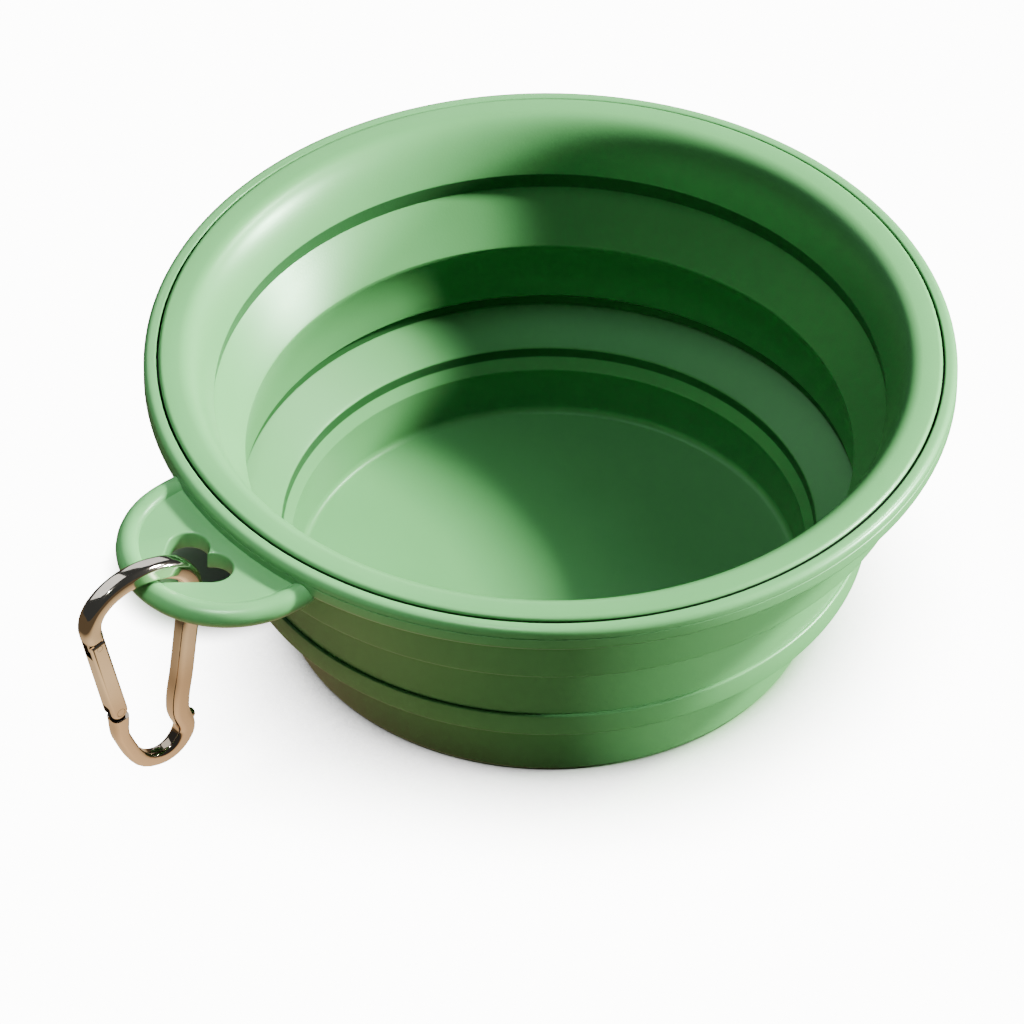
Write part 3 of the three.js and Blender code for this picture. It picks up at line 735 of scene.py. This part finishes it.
LATCH_DISTANCE = 0.0164
LATCH_HOLE = 0.00056
RIVET_HOLE = 0.00076
HINGE_TONGUE_WIDTH = 0.002
HINGE_TONGUE_TOP = 0.00101
PIN_STEPS = 24
METAL_CLOUD_SCALE = 180
POLISHING_HAZE = 0.92
NICKEL = (0.86, 0.77, 0.66, 1)
# Painted reflection: the hook's nickel turns this brown-grey towards its foot, a painted darker
# reflection.
NICKEL_PAINTED_FOOT_SHADE = (0.52, 0.42, 0.33, 1)
NICKEL_ROUGHNESS = 0.05
# Painted shade: the faces inside the slots and at the gate's forked tip get this rougher, nearly black
# metal.
SLOT_PAINTED_SHADE = (0.09, 0.08, 0.07, 1)
SLOT_SHADE_ROUGHNESS = 0.45
FOOT_SHADE_LOW = 0.0235
FOOT_SHADE_HIGH = 0.0345


def hook_point(across, up):
    """A point of the hook's plane, counted outwards and upwards from where the hook hangs."""
    return HANG_POINT + Vector((-across, 0, up))


leg_root = ARCH_SHIFT - ARCH_INNER_WIDTH
arch_foot = ARCH_TOP - ARCH_INNER_HEIGHT
gate_way = Vector((math.sin(GATE_LEAN), math.cos(GATE_LEAN)))
nose_place = Vector((
    ARCH_SHIFT + ARCH_OUTER_WIDTH - NOSE_INSET, ARCH_TOP - ARCH_OUTER_HEIGHT - NOSE_DROP))
rivet_place = nose_place - gate_way * NOSE_DISTANCE
shoulder_place = rivet_place - gate_way * SHOULDER_DISTANCE


def hook_path():
    """Points of the bar's centre line from the nose over the arch and down to the shoulder."""
    path = [hook_point(*nose_place)]
    for span in range(ARCH_SPANS + 1):
        angle = math.pi * span / ARCH_SPANS
        outer = span < ARCH_SPANS / 2
        width = ARCH_OUTER_WIDTH if outer else ARCH_INNER_WIDTH
        height = ARCH_OUTER_HEIGHT if outer else ARCH_INNER_HEIGHT
        path.append(hook_point(
            ARCH_SHIFT + width * math.cos(angle), ARCH_TOP - height * (1 - math.sin(angle))))
    for span in range(1, LEG_SPANS + 1):
        share = span / LEG_SPANS
        path.append(hook_point(leg_root + LEG_INSET * share, arch_foot - LEG_DROP * share))
    path.append(hook_point(leg_root + HEEL_INSET, arch_foot - HEEL_DROP))
    path.append(hook_point(ARCH_SHIFT + TOE_SHIFT, arch_foot - TOE_DROP))
    path.append(hook_point(shoulder_place.x - SHOULDER_INSET, shoulder_place.y - SHOULDER_DROP))
    path.append(hook_point(*shoulder_place))
    return path


def bar_fullness():
    """The bar's thickness at each point of its path, slimmer round the foot of the hook."""
    foot = [HEEL_FULLNESS, TOE_FULLNESS, TOE_FULLNESS, SHOULDER_FULLNESS]
    return [1] * (len(hook_path()) - len(foot)) + foot


def along_gate(piece):
    """Turns a piece drawn upright at the origin to the gate's lean and sets it at the rivet."""
    piece.rotation_euler = (piece.rotation_euler.x, -GATE_LEAN, 0)
    piece.location = hook_point(*rivet_place)
    bpy.ops.object.select_all(action="DESELECT")
    bpy.context.view_layer.objects.active = piece
    piece.select_set(True)
    bpy.ops.object.transform_apply(location=True, rotation=True, scale=True)


def gate_block(low, high, width, thickness, aside=0):
    """A block along the gate, between two distances from the rivet."""
    bpy.ops.object.select_all(action="DESELECT")
    bpy.ops.mesh.primitive_cube_add(size=1, location=(-aside, 0, (low + high) / 2))
    block = bpy.context.object
    block.scale = (width, thickness, high - low)
    bpy.ops.object.transform_apply(location=True, rotation=True, scale=True)
    along_gate(block)
    return block


def gate_pin(distance, radius, length):
    """A round pin across the gate at a distance from the rivet."""
    bpy.ops.object.select_all(action="DESELECT")
    bpy.ops.mesh.primitive_cylinder_add(
        vertices=PIN_STEPS, radius=radius, depth=length, location=(0, 0, distance),
        rotation=(math.pi / 2, 0, 0))
    pin = bpy.context.object
    bpy.ops.object.transform_apply(location=True, rotation=True, scale=True)
    along_gate(pin)
    return pin


def polished_material(name, tint, foot_painted_shade, roughness):
    """Metal with a faint polishing haze, which may be darker towards the foot of the hook as a painted
    darker reflection.
    """
    material = bpy.data.materials.new(name)
    material.use_nodes = True
    tree = material.node_tree
    nodes, links = tree.nodes, tree.links
    shader = nodes["Principled BSDF"]
    shader.inputs["Metallic"].default_value = 1
    skin = nodes.new("ShaderNodeGroup")
    skin.node_tree = moulded_skin
    skin.inputs["Cloud Scale"].default_value = METAL_CLOUD_SCALE
    skin.inputs["Roughness"].default_value = roughness
    skin.inputs["Roughness Spread"].default_value = roughness
    hazy_tint = [channel * POLISHING_HAZE for channel in tint[:3]] + [1]
    colour = mixed_colour(tree, skin.outputs["Tone"], tint, hazy_tint)
    place = nodes.new("ShaderNodeTexCoord")
    split = nodes.new("ShaderNodeSeparateXYZ")
    links.new(place.outputs["Object"], split.inputs["Vector"])
    # Painted darker reflection towards the foot of the hook.
    height = mapped(tree, split.outputs["Z"], FOOT_SHADE_LOW, FOOT_SHADE_HIGH, 0, 1, "SMOOTHSTEP")
    foot_shaded = mixed_colour(tree, height, foot_painted_shade, colour)
    links.new(foot_shaded, shader.inputs["Base Color"])
    links.new(skin.outputs["Roughness"], shader.inputs["Roughness"])
    return material


def shade_slot_faces(piece, inside):
    """Gives the faces inside a slot a rougher, unpolished metal darkened to nearly black as painted
    shade, and all others the polished plate.
    """
    piece.data.materials.clear()
    piece.data.materials.append(plated)
    piece.data.materials.append(slot_shade)
    for face in piece.data.polygons:
        spot = face.center - hook_point(*rivet_place)
        along = Vector((-spot.x, spot.z)).dot(gate_way)
        across = Vector((-spot.x, spot.z)).cross(gate_way)
        face.material_index = 1 if inside(along, abs(across), abs(spot.y)) else 0


plated = polished_material("polished_nickel", NICKEL, NICKEL_PAINTED_FOOT_SHADE, NICKEL_ROUGHNESS)
slot_shade = polished_material("slot_painted_shade_metal", SLOT_PAINTED_SHADE, SLOT_PAINTED_SHADE, SLOT_SHADE_ROUGHNESS)
bar_section = []
straight = HOOK_SIDE / 2 - HOOK_CORNER
for quarter, (side_x, side_y) in enumerate(((1, 1), (-1, 1), (-1, -1), (1, -1))):
    bar_section.extend(arc_points(
        side_x * straight, side_y * straight, HOOK_CORNER,
        quarter * math.pi / 2, (quarter + 1) * math.pi / 2, ROUND_STEPS))
hook_body = bent_bar("hook_body_casting", hook_path(), bar_section, bar_fullness())
nose_tongue = gate_block(
    NOSE_DISTANCE - NOSE_TONGUE_REACH, NOSE_DISTANCE + HOOK_SIDE / 2, TONGUE_WIDTH, TONGUE_THICKNESS)
combine(hook_body, nose_tongue, "UNION")
hinge_tongue = gate_block(
    -GATE_WIDTH / 2 - HOOK_SIDE / 2, HINGE_TONGUE_TOP, HINGE_TONGUE_WIDTH, TONGUE_THICKNESS)
combine(hook_body, hinge_tongue, "UNION")
bpy.ops.object.select_all(action="DESELECT")
bpy.ops.mesh.primitive_uv_sphere_add(
    segments=NUB_SEGMENTS, ring_count=NUB_RINGS, radius=NUB_RADIUS,
    location=hook_point(leg_root + HEEL_INSET - HOOK_SIDE / 2 + NUB_INSET / 2,
                        arch_foot - (LEG_DROP + HEEL_DROP) / 2))
nub = bpy.context.object
bpy.ops.object.transform_apply(location=True, rotation=True, scale=True)
combine(hook_body, nub, "UNION")
latch_notch = gate_block(
    LATCH_DISTANCE - LATCH_HOLE, LATCH_DISTANCE + LATCH_HOLE, HOOK_SIDE, SLOT_WIDTH,
    LATCH_HOLE - HOOK_SIDE / 2)
combine(hook_body, latch_notch, "DIFFERENCE")
combine(hook_body, gate_pin(0, RIVET_HOLE, HOOK_SIDE), "DIFFERENCE")
bpy.ops.object.mode_set(mode="EDIT")
close_mesh()
shade_slot_faces(hook_body, lambda along, across, aside: (
    -SHOULDER_DISTANCE - MERGE_DISTANCE < along < NOSE_DISTANCE + MERGE_DISTANCE
    and across < TONGUE_WIDTH / 2 - MERGE_DISTANCE and aside < SLOT_WIDTH))
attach(hook_body, "hook")
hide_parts("carabiner_body")

# Snap hook gate
# A straight bar of the same plated metal that swings inwards about a rivet in its round foot.
# Both ends are forked, and a spring bored into the bar keeps it shut against the nose.
GATE_EDGE_ROUND = 0.0005
GATE_EDGE_STEPS = 4
NOSE_SLOT_DEPTH = 0.0032
HINGE_SLOT_TOP = 0.00167

half_gate = GATE_WIDTH / 2
hook_gate = flat_piece("hook_gate_bar", [
    *arc_points(0, 0, half_gate, -math.pi, 0, PIN_STEPS),
    (half_gate, GATE_LENGTH),
    (-half_gate, GATE_LENGTH),
], -half_gate, half_gate)
pick_edges(hook_gate, level_edge)
bpy.ops.mesh.bevel(offset=GATE_EDGE_ROUND, segments=GATE_EDGE_STEPS, affect="EDGES")
close_mesh()
hook_gate.rotation_euler = (math.pi / 2, 0, 0)
along_gate(hook_gate)
cut_width = 2 * GATE_WIDTH
nose_slot = gate_block(GATE_LENGTH - NOSE_SLOT_DEPTH, GATE_LENGTH + HOOK_SIDE, cut_width, SLOT_WIDTH)
combine(hook_gate, nose_slot, "DIFFERENCE")
combine(hook_gate, gate_block(-GATE_WIDTH, HINGE_SLOT_TOP, cut_width, SLOT_WIDTH), "DIFFERENCE")
combine(hook_gate, gate_pin(0, RIVET_HOLE, cut_width), "DIFFERENCE")
combine(hook_gate, gate_pin(LATCH_DISTANCE, LATCH_HOLE, cut_width), "DIFFERENCE")
bpy.ops.object.mode_set(mode="EDIT")
close_mesh()
shade_slot_faces(hook_gate, lambda along, across, aside: (
    along > GATE_LENGTH - MERGE_DISTANCE or abs(aside - SLOT_WIDTH / 2) < MERGE_DISTANCE))
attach(hook_gate, "gate")
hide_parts("carabiner_gate")

# Rivet, latch pin, spring and plunger
# The rivet and the pin are ground flush with the gate's sides and get the gate's polished plate;
# the closing spring and the plunger it presses inside the gate's bore are plain drawn steel.
STEEL = (0.60, 0.58, 0.55, 1)
STEEL_ROUGHNESS = 0.2

plain_steel = polished_material("drawn_steel", STEEL, STEEL, STEEL_ROUGHNESS)
for node, finish in (("gate_rivet", plated), ("latch_pin", plated),
                     ("gate_spring", plain_steel), ("spring_plunger", plain_steel)):
    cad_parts[node].data.materials.clear()
    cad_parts[node].data.materials.append(finish)

# Floor and light
# A plain pale floor, white to the camera and tan in reflections, with a faint contact shade and a
# small soft shade at the spot that the camera sees through the heart-shaped hole. Soft lamps stand
# at the right, overhead and behind, a narrow one lights the lug, and a pale sky fills the shadows.
FLOOR_SIZE = 12
FLOOR_DROP = 0.0002
FLOOR_TONE = (0.18, 0.175, 0.13, 1)
# Painted bounce light: where the floor's glow fades, the camera sees it in this green, a painted green
# light thrown back from the bowl.
GREEN_BOUNCE_FLOOR_TONE = (0.06, 0.2, 0.05, 1)
FLOOR_ROUGHNESS = 0.9
FLOOR_GLOW = 13
FLOOR_GLOW_COLOUR = (1, 1, 0.985, 1)
SHEEN_NEAR = 1.9
SHEEN_FAR = 0.12
SHEEN_COLOUR = (1, 0.72, 0.42, 1)
SHEEN_PLACE = (-0.085, -0.012, 0)
SHEEN_REACH = 0.065
CONTACT_REACH = 0.05
CONTACT_DARK = 0.25
CONTACT_LIGHT = 0.75
CONTACT_SAMPLES = 32
HOLE_SHADE_PLACE = (-0.0416, 0.0375, 0)
HOLE_SHADE_INSIDE = 0.004
HOLE_SHADE_OUTSIDE = 0.0175
HOLE_SHADE_DEPTH = 0.002
KEY_TINT = (1, 0.98, 0.94)
SIDE_TINT = (1, 0.99, 0.97)
TOP_TINT = (0.82, 0.95, 1)
HOOK_TINT = (0.95, 0.98, 1)
BACK_TINT = (0.93, 0.97, 1)
# Each row: name, azimuth, elevation, distance, size, power, tint, lights surfaces, shows in reflections
LAMPS = (
    ("key_light", 16, 38.5, 1.6, 0.20, 52, KEY_TINT, True, True),
    ("key_wash", 16, 38.5, 1.6, 0.20, 112, KEY_TINT, True, False),
    ("side_light", 2, 14, 1.6, 0.16, 75, SIDE_TINT, True, True),
    ("side_gloss", 2, 14, 1.6, 0.16, 90, SIDE_TINT, False, True),
    ("top_panel", 150, 84, 1.5, 0.5, 7.5, TOP_TINT, True, False),
    ("hook_panel", 145, 52, 1.5, 1.2, 6, HOOK_TINT, False, True),
    ("back_panel", 88, 28, 1.6, 0.9, 3, BACK_TINT, False, True),
)
LUG_LIGHT_WAY = Vector((-0.25, -0.2, 1)).normalized()
LUG_LIGHT_DISTANCE = 1.2
LUG_LIGHT_POWER = 260
LUG_LIGHT_CONE = math.radians(3.6)
LUG_LIGHT_SOFTNESS = 0.05
SKY_TINT = (0.88, 0.96, 1, 1)
SKY_STRENGTH = 0.05

bpy.ops.object.select_all(action="DESELECT")
bpy.ops.mesh.primitive_plane_add(size=FLOOR_SIZE, location=(0, 0, -FLOOR_DROP))
floor = bpy.context.object
floor.name = "studio_floor"
bpy.ops.object.transform_apply(location=True, rotation=True, scale=True)
floor_paint = bpy.data.materials.new("floor_paint")
floor_paint.use_nodes = True
floor_tree = floor_paint.node_tree
seen = floor_tree.nodes.new("ShaderNodeLightPath")
floor_place = floor_tree.nodes.new("ShaderNodeTexCoord")


def floor_distance(place):
    """The distance of a point of the floor from a given place."""
    distance = floor_tree.nodes.new("ShaderNodeVectorMath")
    distance.operation = "DISTANCE"
    distance.inputs[1].default_value = place
    floor_tree.links.new(floor_place.outputs["Object"], distance.inputs[0])
    return distance.outputs["Value"]


def floor_emission(colour, strength):
    """Light given off by the floor, in one colour."""
    glow = floor_tree.nodes.new("ShaderNodeEmission")
    feed(floor_tree, colour, glow.inputs["Color"])
    feed(floor_tree, strength, glow.inputs["Strength"])
    return glow.outputs["Emission"]


def mixed_shader(factor, first, last):
    """A mix of two shaders of the floor."""
    mix = floor_tree.nodes.new("ShaderNodeMixShader")
    for value, socket in zip((factor, first, last), mix.inputs):
        floor_tree.links.new(value, socket)
    return mix.outputs["Shader"]


floor_shader = floor_tree.nodes["Principled BSDF"]
floor_shader.inputs["Roughness"].default_value = FLOOR_ROUGHNESS
camera_ray = seen.outputs["Is Camera Ray"]
floor_tone = mixed_colour(floor_tree, camera_ray, FLOOR_TONE, GREEN_BOUNCE_FLOOR_TONE)
floor_tree.links.new(floor_tone, floor_shader.inputs["Base Color"])
near = floor_tree.nodes.new("ShaderNodeAmbientOcclusion")
near.samples = CONTACT_SAMPLES
near.inputs["Distance"].default_value = CONTACT_REACH
contact_fade = mapped(floor_tree, near.outputs["AO"], CONTACT_DARK, CONTACT_LIGHT, 0, 1, "SMOOTHSTEP")
hole_shade = mapped(
    floor_tree, floor_distance(HOLE_SHADE_PLACE), HOLE_SHADE_INSIDE, HOLE_SHADE_OUTSIDE,
    1, 0, "SMOOTHSTEP")
hole_fade = arithmetic(floor_tree, "POWER", HOLE_SHADE_DEPTH, hole_shade)
fades = arithmetic(floor_tree, "MULTIPLY", contact_fade, hole_fade)
glow_share = arithmetic(floor_tree, "MULTIPLY", camera_ray, fades)
floor_glow = floor_emission(FLOOR_GLOW_COLOUR, FLOOR_GLOW)
shown_floor = mixed_shader(glow_share, floor_shader.outputs["BSDF"], floor_glow)
sheen_strength = mapped(floor_tree, floor_distance(SHEEN_PLACE), 0, SHEEN_REACH, SHEEN_NEAR, SHEEN_FAR)
floor_sheen = floor_emission(SHEEN_COLOUR, sheen_strength)
mirrored_floor = mixed_shader(seen.outputs["Is Glossy Ray"], shown_floor, floor_sheen)
floor_tree.links.new(mirrored_floor, floor_tree.nodes["Material Output"].inputs["Surface"])
floor.data.materials.append(floor_paint)

for name, azimuth, elevation, distance, size, power, tint, lights_surfaces, in_reflections in LAMPS:
    heading = CAMERA_TURN + math.radians(azimuth)
    lift = math.radians(elevation)
    level = math.cos(lift)
    way = Vector((math.cos(heading) * level, math.sin(heading) * level, math.sin(lift)))
    bpy.ops.object.light_add(type="AREA", location=way * distance)
    lamp = bpy.context.object
    lamp.name = name
    lamp.data.size = size
    lamp.data.energy = power
    lamp.data.color = tint
    lamp.visible_diffuse = lights_surfaces
    lamp.visible_glossy = in_reflections
    lamp.rotation_euler = (-way).to_track_quat("-Z", "Y").to_euler()

lug_middle = Vector((-LUG_ROOT - HEART_LENGTH, 0, LUG_TOP))
bpy.ops.object.light_add(type="SPOT", location=lug_middle + LUG_LIGHT_WAY * LUG_LIGHT_DISTANCE)
lug_light = bpy.context.object
lug_light.name = "lug_light"
lug_light.data.energy = LUG_LIGHT_POWER
lug_light.data.spot_size = LUG_LIGHT_CONE
lug_light.data.spot_blend = 1
lug_light.data.shadow_soft_size = LUG_LIGHT_SOFTNESS
lug_light.rotation_euler = (-LUG_LIGHT_WAY).to_track_quat("-Z", "Y").to_euler()
world = bpy.data.worlds.new("studio_sky")
world.use_nodes = True
sky = world.node_tree.nodes["Background"]
sky.inputs["Color"].default_value = SKY_TINT
sky.inputs["Strength"].default_value = SKY_STRENGTH
bpy.context.scene.world = world
